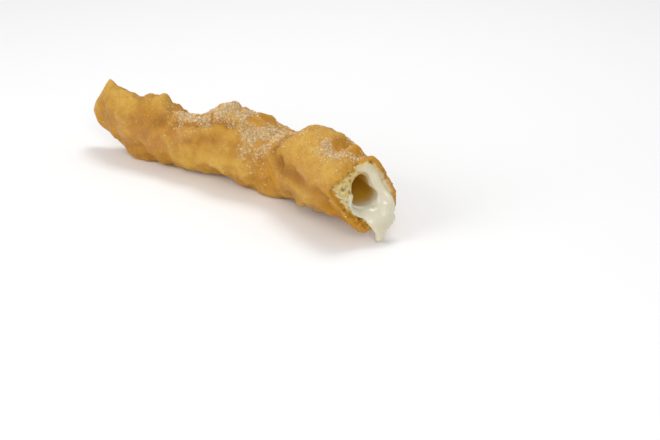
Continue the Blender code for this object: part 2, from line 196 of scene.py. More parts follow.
# The frying: blisters where steam pushed the skin up, pits where it broke, wrinkles and a fine grain
BLISTERS, BLISTER_RADIUS, BLISTER_RISE, MOAT = 130, (0.9, 3.4), 0.15, 0.16
PITS, PIT_RADIUS, PIT_DEPTH = 70, (0.35, 0.9), 0.5
BLISTERED = (8, 196)  # where along the dough both lie
GRAIN = ((4.2, 0.09), (2.3, 0.045), (1.3, 0.024))
WRINKLE_DEPTH, WRINKLE_WIDTH = 0.3, 0.085
WRINKLE_SPACE, WRINKLE_WOBBLE, WRINKLE_PATCH = 15 * MM, 6 * MM, 38 * MM
CALM, RUGGED_TURN, RUGGED_PATCH = 0.25, math.radians(-50), 22 * MM  # rough on the top and the far side
# the weights of the painted shade that wrinkles, pits and moats take in the colours
WRINKLE_DARK, PIT_DARK, MOAT_DARK = 0.55, 0.9, 0.1  # how much each counts as a crease in the colours
# raised relief is painted lighter by these weights, as painted light
FORM_LIFT, FINE_LIFT, CRUMB_LIFT = 0.16, 0.7, 0.6  # how much a millimetre of each counts as lifted
GRAIN_SUGARED = 1.3  # how much coarser the grain is where sugar has melted on
STREAK_SPACE, STREAK_STRETCH = 9 * MM, 4.5  # soft streaks that run along the dough
SUGAR_COVER, SUGAR_PATCHES = 0.62, ((9, 0.34, 3.0), (3.5, 0.26, 5.0))  # share; wavelength, weight and start

# Where sugar lies or, below zero, is rubbed off, and where the crust is amber, browned, pale or rosy:
# distance, turn, reach along, reach round, strength. The browned and rosy spots are partly painted shade,
# and the pale ones partly painted light.
SUGARED = (
    (64, 6, 7, 7, 0.55),
    (76, 14, 10, 8, 1.0),
    (90, 16, 12, 9, 1.0),
    (102, 16, 9, 9, 0.9),
    (112, 32, 9, 9, 1.0),
    (123, 30, 8, 9, 1.0),
    (132, 10, 7, 9, 0.9),
    (115.5, -6, 4, 4, -1.3),
    (126, 78, 5, 5, -0.5),
    (102, 58, 9, 6, -0.8),
    (109, 47, 5, 5, -0.7),
    (117, 62, 8, 8, 0.6),
    (128, 82, 5, 5, 0.5),
    (150, 0, 5, 6, 0.4),
    (156, 34, 5, 5, 0.25),
    (174, 20, 6, 6, 0.7),
    (183, 16, 6, 6, 0.9),
    (189, -10, 5, 6, 0.5),
    (70, -50, 9, 9, 0.6),
    (96, -60, 12, 9, 0.7),
    (126, -45, 9, 9, 0.8),
    (168, -50, 10, 8, 0.5),
    (38, -30, 8, 7, 0.25),
)
AMBER = (
    (115.5, -6, 3.4, 3.6, 1.0),
    (121, 2, 3.5, 3.5, 0.5),
    (176, -14, 3.2, 3.4, 0.6),
    (185, -18, 3.4, 3.4, 0.9),
    (194, -28, 3.4, 3.4, 0.9),
    (200, 107, 4, 4, 0.7),
    (134, 84, 6, 4, 0.6),
    (142, 100, 7, 4, 0.6),
    (192, 130, 6, 5, 0.8),
    (201, 158, 7, 9, 1.0),
    (130, -100, 6, 5, 0.6),
    (60, -110, 5, 5, 0.5),
)
# browned patches, partly browned crust and partly painted shade, such as the band near turn 70 at mid
# height
BROWNED_AND_SHADED = (
    (22, 68, 8, 5, 0.8),
    (14, 90, 6, 6, 0.7),
    (41, 66, 9, 4, 0.8),
    (53, 44, 7, 4, 0.5),
    (77, 77, 14, 3.2, 0.8),
    (96, 76, 12, 3.2, 0.8),
    # painted shadow under the sugared ledge
    (96, 40, 14, 2.4, 0.8),
    (70, 95, 9, 4, 0.4),
    (113, 70, 7, 4, 0.7),
    (127, 66, 7, 5, 0.8),
    (142, 73, 6, 4, 0.8),
    (156, 89, 9, 4, 0.7),
    (155, 118, 9, 5, 0.9),
    (189, 177, 9, 7, 0.9),
    (178, 130, 9, 6, 0.5),
    (36, 130, 16, 6, 0.6),
    (110, -110, 12, 7, 0.8),
    (60, -120, 14, 7, 0.7),
    (176, -100, 9, 7, 0.7),
    (150, -140, 14, 8, 0.6),
)
# pale patches, partly paler crust and partly painted light, most of all low on the near side round turn 100
# to 111
PALE_AND_LIT = (
    (10, 20, 5, 5, 0.7),
    (22, 25, 7, 5, 1.0),
    (32, 30, 7, 5, 1.0),
    (50, 14, 6, 5, 1.0),
    (81, 111, 15, 5, 0.9),
    (99, 110, 12, 5, 0.8),
    (112, 101, 9, 5, 0.9),
    (86, 56, 12, 3, 0.5),
    (163, 38, 11, 7, 0.9),
    (178, 34, 9, 6, 0.8),
    (194, 44, 7, 6, 0.9),
    (180, 110, 9, 5, 0.5),
    (120, -70, 12, 8, 0.6),
    (75, -90, 14, 7, 0.6),
    (30, -70, 9, 8, 0.6),
    (170, -60, 10, 7, 0.6),
)
# rosy patches, partly painted shade, such as the pink shade in the valleys by the lobe's folds
ROSY_AND_SHADED = (
    (33, 98, 7, 6, 0.8),
    (53, 89, 10, 6, 0.9),
    (71, 62, 8, 4, 0.8),
    (126, 44, 5, 5, 0.7),
    (174, 72, 9, 6, 0.8),
    (191, 65, 7, 5, 0.7),
    (150, 60, 6, 6, 0.5),
    (90, -120, 12, 8, 0.6),
)

# The torn mouth: how far forward the crust reaches, and how far it rolls in over its last stretch, by turn
TORN_EDGE = (
    (0, -6.0),
    (15, -4.0),
    (30, -1.4),
    (45, 0.2),
    (60, -0.8),
    (75, -3.6),
    (86, -3.0),
    (100, 1.0),
    (115, 3.8),
    (130, 4.8),
    (150, 5.6),
    (180, 6.0),
    (200, 6.3),
    (220, 5.9),
    (250, 4.0),
    (270, 2.0),
    (300, -1.3),
    (320, -3.3),
    (340, -5.0),
)
ROLLED_IN = (
    (0, 0.8),
    (30, 1.6),
    (60, 1.0),
    (80, 0.2),
    (105, 1.6),
    (130, 2.8),
    (160, 2.8),
    (190, 2.0),
    (220, 1.2),
    (260, 0.8),
    (310, 0.8),
    (340, 0.6),
)
TORN_WAVES = ((7, 0.45, 1.0), (12, 0.3, 5.0))  # waves round the edge, height, phase
RAGGED_EDGE = ((19, 0.22, 2.0), (31, 0.16, 0.7), (47, 0.1, 3.9))
TORN_POWER, RAGGED_POWER = 10, 60  # powers of distance by which those waves die away behind the mouth
ROLL_FROM = 5 * MM
CAVITY_TILT, CAVITY_TILT_TURN = 2.8 * MM, math.radians(18.5)
RIM_SLOPE, RIM_SWELL = 1.0 * MM, 0.9 * MM
PORES, PORE_RADIUS, PORE_DEPTH, PORE_LIP = 150, (0.3, 1.5), 0.8, 0.08
CRUMB_GRAIN = ((5.2, 0.30), (2.6, 0.32), (1.3, 0.16))
SMOOTH_LIP = 2 * MM  # the cavity's wall takes on the crumb's grain over this much from the rim

# The rim's colours, by shares of the way from the crust to the cavity. FAR_SIDE and NEAR_SIDE are the turn
# and reach of a stretch that the cream has soaked and filled, and of one where it is smeared.
FAR_SIDE, NEAR_SIDE = (-72, 46), (102, 42)
FAR_FILLED, FAR_SMEAR = 0.75, 0.75
SKIN_SHARE, SKIN_ROLL, SKIN_SWING, SKIN_WAVES, SKIN_SOAKED = 0.05, 0.14, 0.03, 0.07, 0.7
SKIN_BLEND, SKIN_BLEND_FAR = 0.12, 0.34
TOASTED_BACK, TOASTED_SHARE = 2 * MM, 0.1
SMEAR_SPECK, FRINGE_SPECK = 3.2 * MM, 2.6 * MM
FRINGE_AT, FRINGE_WIDTH, FRINGE_SMEAR = 0.1, 0.07, 0.8
# painted shade: the cavity's wall is painted darker over this stretch behind its edge
DARK_BY = 16 * MM  # how far behind its edge the cavity's wall has its full dark tone

COLUMNS, OUTER_ROWS, RIM_ROWS = 256, 296, 26
TAIL_CROWD, TAIL_CROWD_OVER = 0.055, 0.05  # how much closer the rows lie at the tail, and over what share
CAVITY_ROWS_NEAR, CAVITY_ROWS_FAR, CAVITY_NEAR = 38, 16, 24 * MM


def through(table, column, where):
    """A table's column read at distances. Each stretch is a cubic whose end slopes are weighted harmonic
    means of the slopes beside them, so that none overshoots."""
    rows = np.array(table, float) * MM
    x, y = rows[:, 0], rows[:, column]
    step = np.diff(x)
    slope = np.diff(y) / step
    ends = np.zeros(len(x))
    same_way = slope[:-1] * slope[1:] > 0
    weight = step[:-1] + step[1:]
    with np.errstate(divide="ignore", invalid="ignore"):
        mean = 3 * weight / ((weight + step[1:]) / slope[:-1] + (weight + step[:-1]) / slope[1:])
    ends[1:-1] = np.where(same_way, mean, 0.0)
    ends[0], ends[-1] = slope[0], slope[-1]
    where = np.clip(where, x[0], x[-1])
    i = np.clip(np.searchsorted(x, where, side="right") - 1, 0, len(step) - 1)
    t = (where - x[i]) / step[i]
    return (
        y[i] * (1 + 2 * t) * (1 - t) ** 2
        + y[i + 1] * (3 - 2 * t) * t**2
        + step[i] * (ends[i] * t * (1 - t) ** 2 - ends[i + 1] * t**2 * (1 - t))
    )


def read_rows(table, count):
    """A table's columns read at even steps from its first row to its last, on the same cubics."""
    rows = 1000.0 * np.column_stack([np.arange(len(table)), np.array(table, float)])
    at = np.linspace(0, len(table) - 1, count)
    return [through(rows, column, at) for column in range(1, rows.shape[1])]


def ease(x):
    """3x^2 - 2x^3 between 0 and 1, and flat outside."""
    x = np.clip(x, 0, 1)
    return x * x * (3 - 2 * x)


def middle_line(s):
    """Plan position and heading at a distance. The heading eases from the rear's to the front's at the
    bend, and the position is the sum of its short steps."""
    fine = np.linspace(0, 1.1 * LENGTH, 900)

    def heading(at):
        turned = ease((at - BEND_FROM) / (BEND_TO - BEND_FROM))
        return REAR_HEADING + (FRONT_HEADING - REAR_HEADING) * turned

    step = fine[1] - fine[0]
    x = np.concatenate([[0], np.cumsum(np.cos(heading(fine[:-1] + step / 2)) * step)])
    y = np.concatenate([[0], np.cumsum(np.sin(heading(fine[:-1] + step / 2)) * step)])
    return np.interp(s, fine, x), np.interp(s, fine, y), heading(s)


def placed(s, aside, height):
    """The middle line's point at s, moved sideways by its left-hand normal times aside, at a height."""
    x, y, heading = middle_line(s)
    return np.stack([x - aside * np.sin(heading), y + aside * np.cos(heading), height], -1)


def waves(points, wavelength, start, count=28):
    """Smooth random values of unit size: plane waves summed, their directions round a Fibonacci sphere,
    their lengths within a quarter of the wavelength, and their phases scattered."""
    k = np.arange(count) + 0.5
    polar = np.arccos(1 - 2 * k / count)
    turn = math.pi * (1 + math.sqrt(5)) * k + start
    ways = np.stack([np.cos(turn) * np.sin(polar), np.sin(turn) * np.sin(polar), np.cos(polar)], 1)
    lengths = wavelength * (0.75 + 0.5 * ((0.618 * k + start) % 1))
    phases = 2 * math.pi * ((0.754 * k * k + 0.37 * start) % 1)
    steepness = 2 * math.pi * ways / lengths[:, None]
    return np.sin(points @ steepness.T + phases).sum(-1) * math.sqrt(2 / count)


def wrapped(turn):
    """A turn brought between minus and plus half a circle."""
    return (turn + math.pi) % (2 * math.pi) - math.pi


def spots(table, s, turn, girth):
    """Sum of soft round spots, each strength times exp(-(along / reach)^2 - (around / reach)^2)."""
    total = np.zeros(s.shape)
    for distance, at, reach, reach_round, strength in table:
        along = (s - distance * MM) / (reach * MM)
        around = wrapped(turn - math.radians(at)) * girth / (reach_round * MM)
        total += strength * np.exp(-(along**2) - around**2)
    return total


def fold_distance(s, turn, girth, path):
    """Shortest distance over the skin to a fold's path, taken as short straight pieces of a smooth line."""
    pieces = FOLD_PIECES * (len(path) - 1)
    distances, turns = read_rows(path, pieces + 1)
    along, round_it = distances * MM, np.radians(turns)
    nearest = np.full(s.shape, 1.0)
    for i in range(pieces):
        ds, dt = along[i + 1] - along[i], (round_it[i + 1] - round_it[i]) * girth
        us, ut = s - along[i], wrapped(turn - round_it[i]) * girth
        share = np.clip((us * ds + ut * dt) / (ds * ds + dt * dt), 0, 1)
        nearest = np.minimum(nearest, np.hypot(us - share * ds, ut - share * dt))
    return nearest


def plain_skin(s, turn):
    """An ellipse at each distance, before its relief: its points, their offsets from the middle line and
    normals across the tube, and the girth, which is the mean of the half axes."""
    top, under, half = (through(STATIONS, column, s) for column in (1, 2, 3))
    middle, tall = (top + under) / 2, (top - under) / 2
    out = np.stack([-np.sin(turn) * tall, np.cos(turn) * half], -1)
    out /= np.linalg.norm(out, axis=-1, keepdims=True)
    offset = np.stack([-half * np.sin(turn), middle + tall * np.cos(turn)], -1)
    return placed(s, offset[..., 0], offset[..., 1]), offset, out, (half + tall) / 2


def domes(points, centres, radii):
    """For every point, the sum over centres of (1 - (d / r)^2)^2 inside r, and of a ring just outside r."""
    dome, ring = np.zeros(points.shape[:-1]), np.zeros(points.shape[:-1])
    for centre, radius in zip(centres, radii):
        near = np.abs(points - centre).max(-1) < 1.8 * radius
        d = np.linalg.norm(points[near] - centre, axis=-1) / radius
        dome[near] += radius * np.clip(1 - d * d, 0, 1) ** 2
        ring[near] += radius * np.exp(-(((d - 1.12) / 0.2) ** 2))
    return dome, ring


def strewn(seed, count, radius_range):
    """Random places on the plain skin and radii, more small ones than large."""
    draw = np.random.default_rng(seed)
    s = draw.uniform(*BLISTERED, count) * MM
    turn = np.radians(draw.uniform(-180, 180, count))
    low, high = radius_range
    return plain_skin(s, turn)[0], (low + (high - low) * draw.random(count) ** 2.2) * MM


def read_round(table, turn):
    """A value of a table of degrees and millimetres, read at each turn."""
    degrees, values = np.array(table, float).T
    return np.interp(np.degrees(turn) % 360, degrees, values, period=360) * MM


def sines(table, turn):
    """A sum of sines round the edge."""
    return sum(height * MM * np.sin(number * turn + phase) for number, height, phase in table)


def torn(turn):
    """How far the torn edge stands forward at each turn."""
    return read_round(TORN_EDGE, turn) + sines(TORN_WAVES, turn)


def cavity_forward(turn):
    """How far the cavity's own edge stands forward, on a plane that leans back at the top."""
    return -CAVITY_TILT * np.cos(turn - CAVITY_TILT_TURN) - RIM_SLOPE


def dough_skin(s, turn):
    """The plain skin moved along its normals by the sum of its lumps, folds and ripples, as the solid is,
    and of its blisters, pits, wrinkles and grain. Gives the points, and marks of the painted shade in its
    folds, wrinkles and pits, the painted light on its raised relief, its sugar, and its colours, of which
    the browned and rosy patches are partly painted shade and the pale ones partly painted light."""
    plain, offset, out, girth = plain_skin(s, turn)
    from_horn = np.hypot(s - HORN_AT, wrapped(turn) * girth) / HORN_REACH
    form = spots(LUMPS, s, turn, girth) * MM + HORN_RISE * np.clip(1 - from_horn, 0, 1) ** HORN_POINT
    crease_shade = np.zeros(s.shape)
    for path, depth, width in FOLDS:
        fold = np.exp(-((fold_distance(s, turn, girth, path) / (width * MM)) ** 2))
        form -= depth * MM * fold
        crease_shade = np.maximum(crease_shade, min(depth / DEEPEST_FOLD, 1) * fold)
    for number, (wavelength, rise) in enumerate(RIPPLES):
        form += rise * MM * waves(plain, wavelength * MM, 1.7 * number)
    fade = ease(girth / SLIM)
    rough_side = 0.3 + 0.9 * np.cos(turn - RUGGED_TURN) + 0.3 * waves(plain, RUGGED_PATCH, 8.0)
    rugged = CALM + (1 - CALM) * ease(rough_side)
    line = waves(plain, WRINKLE_SPACE, 9.0) + 0.4 * waves(plain, WRINKLE_WOBBLE, 2.0)
    wrinkled = ease((waves(plain, WRINKLE_PATCH, 4.0) + 0.5) / 1.4)
    wrinkle = np.exp(-((line / WRINKLE_WIDTH) ** 2)) * wrinkled * rugged
    blister, moat = domes(plain, *strewn(7, BLISTERS, BLISTER_RADIUS))
    pit, _ = domes(plain, *strewn(8, PITS, PIT_RADIUS))
    patches = sum(weight * waves(plain, wave * MM, start) for wave, weight, start in SUGAR_PATCHES)
    sugar = np.clip(spots(SUGARED, s, turn, girth), 0, 1) * ease(SUGAR_COVER + patches)
    fine = BLISTER_RISE * (blister - MOAT * moat) * rugged - PIT_DEPTH * pit - WRINKLE_DEPTH * MM * wrinkle
    for number, (wavelength, rise) in enumerate(GRAIN):
        coarse = 0.5 + 0.5 * rugged + GRAIN_SUGARED * sugar
        fine += rise * coarse * MM * waves(plain, wavelength * MM, 3.3 + number)
    into_roll = np.clip((s - LENGTH - torn(turn) + ROLL_FROM) / ROLL_FROM, 0, 1)
    rolled = read_round(ROLLED_IN, turn) * into_roll**2
    rise = (form + fine) * fade - rolled
    points = placed(s, offset[..., 0] + out[..., 0] * rise, offset[..., 1] + out[..., 1] * rise)
    broken = WRINKLE_DARK * wrinkle * fade + (PIT_DARK * pit + MOAT_DARK * moat * rugged) / MM
    marks = {
        # painted shade in folds, wrinkles, pits and the moats round blisters
        "crease_shade": np.clip(crease_shade + broken, 0, 1),
        # painted light: raised relief is painted paler
        "raised_light": np.clip(0.5 + (form * FORM_LIFT + fine * FINE_LIFT) / MM, 0, 1),
        "sugared": sugar,
        "amber": np.clip(spots(AMBER, s, turn, girth), 0, 1),
        "browned_and_shaded": np.clip(spots(BROWNED_AND_SHADED, s, turn, girth), 0, 1),
        "pale_and_lit": np.clip(spots(PALE_AND_LIT, s, turn, girth), 0, 1),
        "rosy_and_shaded": np.clip(spots(ROSY_AND_SHADED, s, turn, girth), 0, 1),
        "streaked": waves(np.concatenate([s[..., None] / STREAK_STRETCH, offset], -1), STREAK_SPACE, 0.4),
    }
    return points, marks


def cavity_wall(s, turn):
    """The inside of the dough: an ellipse whose radius swells by two slow sines, and takes the opening's
    own shape near the mouth."""
    middle = (through(STATIONS, 1, s) + through(STATIONS, 2, s)) / 2
    opening = ease((s - OPENING_FROM) / (LENGTH - OPENING_FROM))
    sways = (rise * np.sin(number * turn + s / (twist * MM)) for number, twist, rise in CAVITY_UNEVEN)
    uneven = 1 + sum(sways)
    mouth = read_round(MOUTH_SHAPE, turn) * opening
    wide = through(CAVITY_STATIONS, 1, s) * uneven * (1 - opening) + mouth
    tall = through(CAVITY_STATIONS, 2, s) * uneven * (1 - opening) + mouth
    return placed(s, CAVITY_ASIDE - wide * np.sin(turn), middle + CAVITY_UP + tall * np.cos(turn))


def grid(along, across):
    """Two rows of values as a grid."""
    return np.meshgrid(along, across, indexing="ij")


def ring_mesh(name, rings, marks=None):
    """A closed mesh through rings of points, fanned to the middle of the first and last ring."""
    rows, columns = rings.shape[:2]
    low = np.arange(rows - 1)[:, None] * columns
    here, ahead = np.arange(columns)[None], (np.arange(columns)[None] + 1) % columns
    quads = np.stack([low + here, low + ahead, low + columns + ahead, low + columns + here], -1)
    quads = quads.reshape(-1, 4)
    first, last = rows * columns, rows * columns + 1
    start = np.stack([np.full(columns, first), ahead[0], here[0]], -1)
    end = np.stack([np.full(columns, last), first - columns + here[0], first - columns + ahead[0]], -1)
    points = np.concatenate([rings.reshape(-1, 3), rings[:1].mean(1), rings[-1:].mean(1)])
    mesh = bpy.data.meshes.new(name)
    mesh.from_pydata(points.tolist(), [], quads.tolist() + start.tolist() + end.tolist())
    mesh.shade_smooth()
    for mark, values in (marks or {}).items():
        flat = np.concatenate([values.reshape(-1), values[:1].mean(1), values[-1:].mean(1)])
        mesh.attributes.new(mark, "FLOAT", "POINT").data.foreach_set("value", flat.astype(np.float32))
    return mesh


columns = np.arange(COLUMNS) * 2 * math.pi / COLUMNS
share = np.linspace(0, 1, OUTER_ROWS)
crowded = TAIL_CROWD * (1 - np.exp(-share / TAIL_CROWD_OVER)) * (1 - share)
s, turn = grid(LENGTH * (share - crowded), columns)
forward = torn(turn) * (s / LENGTH) ** TORN_POWER + sines(RAGGED_EDGE, turn) * (s / LENGTH) ** RAGGED_POWER
outer, marks = dough_skin(s + forward, turn)

heading = middle_line(np.array(LENGTH))[2]
mouth_axis = np.array([math.cos(heading), math.sin(heading), 0.0])
near = np.linspace(LENGTH, LENGTH - CAVITY_NEAR, CAVITY_ROWS_NEAR)
far = np.linspace(LENGTH - CAVITY_NEAR, CAVITY_FROM, CAVITY_ROWS_FAR + 1)[1:]
inside, inner_turn = grid(np.concatenate([near, far]), columns)
inside = inside + cavity_forward(inner_turn) * (inside / LENGTH) ** TORN_POWER
cavity = cavity_wall(inside, inner_turn)
outward = cavity - cavity.mean(1, keepdims=True)
outward = outward / np.linalg.norm(outward, axis=-1, keepdims=True)
rough = sum(rise * MM * waves(cavity, wave * MM, 6.1 + wave) for wave, rise in CRUMB_GRAIN)
rough = rough * np.clip((inside[:1] - inside) / SMOOTH_LIP, 0, 1)
cavity = cavity + outward * rough[..., None]

crust, edge = outer[-1], cavity[0]
round_rim = turn[:1]
far_side, near_side = (
    np.exp(-((wrapped(round_rim - math.radians(at)) / math.radians(reach)) ** 2))
    for at, reach in (FAR_SIDE, NEAR_SIDE)
)
across, _ = grid(np.arange(1, RIM_ROWS + 1) / (RIM_ROWS + 1), columns)
face = crust + (edge - crust) * across[..., None]
draw = np.random.default_rng(11)
pore_turn, pore_share = draw.integers(0, COLUMNS, PORES), draw.integers(3, RIM_ROWS, PORES)
low, high = PORE_RADIUS
pore_radii = (low + (high - low) * draw.random(PORES) ** 2) * MM
pore, pore_lip = domes(face, face[pore_share - 1, pore_turn], pore_radii)
inward = np.sin(math.pi * across)
crumb = sum(rise * MM * waves(face, wave * MM, 2.4 + wave) for wave, rise in CRUMB_GRAIN)
crumb = crumb * (1 - FAR_FILLED * far_side)
swell = RIM_SWELL * inward + (crumb - PORE_DEPTH * pore + PORE_LIP * pore_lip) * np.sqrt(inward)
face = face + mouth_axis * swell[..., None]

# The shift brings the skin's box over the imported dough's, and the underside is flat where it rests
skin_low, skin_high = outer.min((0, 1)), outer.max((0, 1))
dough_low, dough_high = (np.array(corner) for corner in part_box("dough"))
shift = (dough_low + dough_high - skin_low - skin_high) / 2
shift[2] = 0.0
rings = np.concatenate([outer, face, cavity])
rings[..., 2] = np.maximum(rings[..., 2], 0.0)
rings = rings + shift


def over_dough(on_skin, on_rim, on_wall):
    """A mark over the whole dough, from its values on the skin, on the rim and on the cavity's wall."""
    return np.concatenate([0 * s + on_skin, 0 * across + on_rim, 0 * inside + on_wall])


rim_marks = {name: marks[name][-1:] for name in marks}
# painted shade in the crumb's pores
rim_marks["crease_shade"] = np.clip(PIT_DARK * pore / MM, 0, 1)
rim_marks["raised_light"] = np.clip(0.5 + CRUMB_LIFT * crumb / MM, 0, 1)
marks = {name: over_dough(marks[name], rim_marks[name], 0) for name in marks}
skinned = SKIN_SHARE + SKIN_ROLL * read_round(ROLLED_IN, round_rim) / MM
skinned = skinned + SKIN_SWING * np.sin(5 * round_rim) + SKIN_WAVES * waves(crust[None], 3.4 * MM, 2.0)
skinned = skinned * (1 - SKIN_SOAKED * far_side)
marks["crumb"] = over_dough(0, ease((across - skinned) / (SKIN_BLEND + SKIN_BLEND_FAR * far_side)), 1)
by_crust = ease((s - LENGTH + TOASTED_BACK) / TOASTED_BACK)
marks["toasted"] = over_dough(by_crust, 1 - ease((across - skinned) / TOASTED_SHARE), 0)
marks["toasted"] = marks["toasted"] * (0.5 + 0.5 * np.sin(3 * columns + 2))
marks["soaked"] = over_dough(0, far_side, 0)
off_crust, by_edge = ease((across - 0.2) / 0.5), ease((across - 0.7) / 0.25)
smeared = near_side * off_crust * ease(0.5 + 0.5 * by_edge + 0.8 * waves(face, SMEAR_SPECK, 1.0))
smeared = np.maximum(smeared, FAR_SMEAR * far_side * off_crust)
fringe = np.exp(-(((across - skinned - FRINGE_AT) / FRINGE_WIDTH) ** 2))
fringe = fringe * ease(0.5 + 0.9 * waves(face, FRINGE_SPECK, 5.0))
marks["smeared"] = over_dough(0, np.maximum(smeared, FRINGE_SMEAR * fringe * near_side), 0)
# painted shade on the cavity's wall, darker deeper in
past_edge = LENGTH - inside + cavity_forward(inner_turn)
marks["deep_shade"] = over_dough(0, 0, ease(past_edge / DARK_BY))

dough = bpy.data.objects.new("churro_dough", ring_mesh("churro_dough", rings, marks))
bpy.context.scene.collection.objects.link(dough)
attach(dough, "root")
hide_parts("dough")


class Line:
    """A value on its way through a material. An operator on it adds the Math node of that name."""

    def __init__(self, finish, socket):
        self.finish, self.socket = finish, socket

    def sum(self, operation, *values):
        return self.finish.add("ShaderNodeMath", {"operation": operation}, dict(enumerate(values)))

    def __add__(self, other):
        return self.sum("ADD", self, other)

    def __sub__(self, other):
        return self.sum("SUBTRACT", self, other)

    def __rsub__(self, other):
        return self.sum("SUBTRACT", other, self)

    def __mul__(self, other):
        return self.sum("MULTIPLY", self, other)

    __radd__, __rmul__ = __add__, __mul__

    def kept(self):
        """The value, held between 0 and 1."""
        return self.finish.add("ShaderNodeMath", {"operation": "ADD", "use_clamp": True}, {0: self, 1: 0.0})


class Finish:
    """A material being mixed. add() makes a node, sets it, then fills its sockets with values or lines."""

    def __init__(self, name):
        self.material = bpy.data.materials.new(name)
        self.material.use_nodes = True
        self.tree = self.material.node_tree
        self.shader = self.tree.nodes["Principled BSDF"]
        self.place = self.add("ShaderNodeTexCoord", {}, {}, "Object")

    def fill(self, node, values):
        for socket, value in values.items():
            if isinstance(value, Line):
                self.tree.links.new(value.socket, node.inputs[socket])
            else:
                node.inputs[socket].default_value = value

    def add(self, kind, settings, values, output=0):
        node = self.tree.nodes.new(kind)
        for setting, value in settings.items():
            setattr(node, setting, value)
        self.fill(node, values)
        return Line(self, node.outputs[output])

    def mark(self, name):
        """A mark that the mesh carries at each point."""
        return self.add("ShaderNodeAttribute", {"attribute_name": name}, {}, "Fac")

    def noise(self, size, detail, roughness=0.55):
        """Soft noise from 0 to 1, its largest spots about this size across."""
        values = {"Vector": self.place, "Scale": 1 / size, "Detail": detail, "Roughness": roughness}
        return self.add("ShaderNodeTexNoise", {}, values, "Fac")

    def pushed(self, value, low, high):
        """A value stretched so that low becomes 0 and high becomes 1, and eased between."""
        settings = {"interpolation_type": "SMOOTHSTEP"}
        return self.add("ShaderNodeMapRange", settings, {0: value, 1: low, 2: high})

    def mixed(self, factor, colour, other):
        """One colour where the factor is 0, going over to the other where it is 1."""
        return self.add("ShaderNodeMix", {"data_type": "RGBA"}, {0: factor, 6: colour, 7: other}, 2)

    def bump(self, height, distance, strength, under=None):
        """A relief that stands this distance proud at most, on top of another one."""
        values = {"Height": height, "Distance": distance, "Strength": strength}
        if under:
            values["Normal"] = under
        return self.add("ShaderNodeBump", {}, values, "Normal")


# Linear colours of the crust and the crumb
GOLD = (0.50, 0.246, 0.026, 1)
# pale gold; on raised relief and in the pale patches it is partly painted light
PALE_AND_LIT_GOLD = (0.63, 0.39, 0.076, 1)
DEEP_GOLD = (0.40, 0.178, 0.018, 1)
AMBER_GOLD = (0.50, 0.215, 0.003, 1)
# browned gold, partly painted shade
BROWN_AND_SHADE_GOLD = (0.32, 0.132, 0.020, 1)
# rose gold, for random flecks and for rosy patches that are partly painted shade
ROSE_AND_SHADE_GOLD = (0.44, 0.200, 0.068, 1)
# painted shade for folds, wrinkles and pits
CREASE_SHADE = (0.26, 0.105, 0.012, 1)
DUSTY = (0.58, 0.38, 0.155, 1)
CRUMB = (0.69, 0.545, 0.215, 1)
# painted shade in the crumb's pores, also its darker specks
CRUMB_SHADE_AND_SPECK = (0.40, 0.255, 0.05, 1)
SOAKED = (0.62, 0.42, 0.22, 1)
SMEAR = (0.74, 0.68, 0.48, 1)
# painted shade deep in the cavity
CAVITY_SHADE = (0.42, 0.21, 0.012, 1)
TOAST = (0.46, 0.25, 0.03, 1)

crust = Finish("fried_dough")
blotch = crust.pushed(crust.noise(24 * MM, 3.0), 0.38, 0.66)
mottle = crust.noise(5 * MM, 5.0, 0.6)
speck = crust.noise(1.1 * MM, 3.0, 0.6)
fleck = crust.noise(1.8 * MM, 4.0, 0.65)
crease_shade, raised_light = crust.mark("crease_shade"), crust.mark("raised_light")
streak = crust.pushed(crust.mark("streaked"), -0.4, 1.6)
broken = crust.pushed(mottle, 0.32, 0.6)
dust = (crust.mark("sugared") * crust.pushed(speck, 0.3, 0.6) * 0.8).kept()

colour = GOLD
for cover, paint in (  # how much of each colour lies over those before it
    (blotch * 0.4 + streak * 0.35 + crust.pushed(mottle, 0.35, 0.7) * 0.4, DEEP_GOLD),
    # painted light: raised relief painted paler
    (crust.pushed(raised_light, 0.42, 0.85) * (1.1 - mottle) * 0.75, PALE_AND_LIT_GOLD),
    # browned patches, partly painted shade
    (crust.mark("browned_and_shaded") * (0.35 + 0.65 * broken) * 0.8, BROWN_AND_SHADE_GOLD),
    # rosy patches, partly painted shade
    (crust.mark("rosy_and_shaded") * (0.4 + 0.6 * broken) * 0.75, ROSE_AND_SHADE_GOLD),
    # pale patches, partly painted light
    (crust.mark("pale_and_lit") * (1.2 - mottle) * 0.8, PALE_AND_LIT_GOLD),
    (crust.pushed(speck, 0.52, 0.68) * 0.45, PALE_AND_LIT_GOLD),
    (crust.pushed(fleck, 0.52, 0.66) * 0.4, ROSE_AND_SHADE_GOLD),
    ((1 - crust.pushed(fleck, 0.34, 0.46)) * 0.35, DEEP_GOLD),
    (crust.mark("amber") * (0.65 + 0.35 * broken), AMBER_GOLD),
    # painted shade in folds, wrinkles and pits
    (crease_shade * 0.5, CREASE_SHADE),
    (dust, DUSTY),
    (crust.mark("toasted") * 0.7, TOAST),
):
    colour = crust.mixed(cover.kept(), colour, paint)
# the crumb's pores take painted shade
crumb_colour = crust.mixed((crease_shade + crust.pushed(speck, 0.45, 0.7) * 0.35).kept(), CRUMB, CRUMB_SHADE_AND_SPECK)
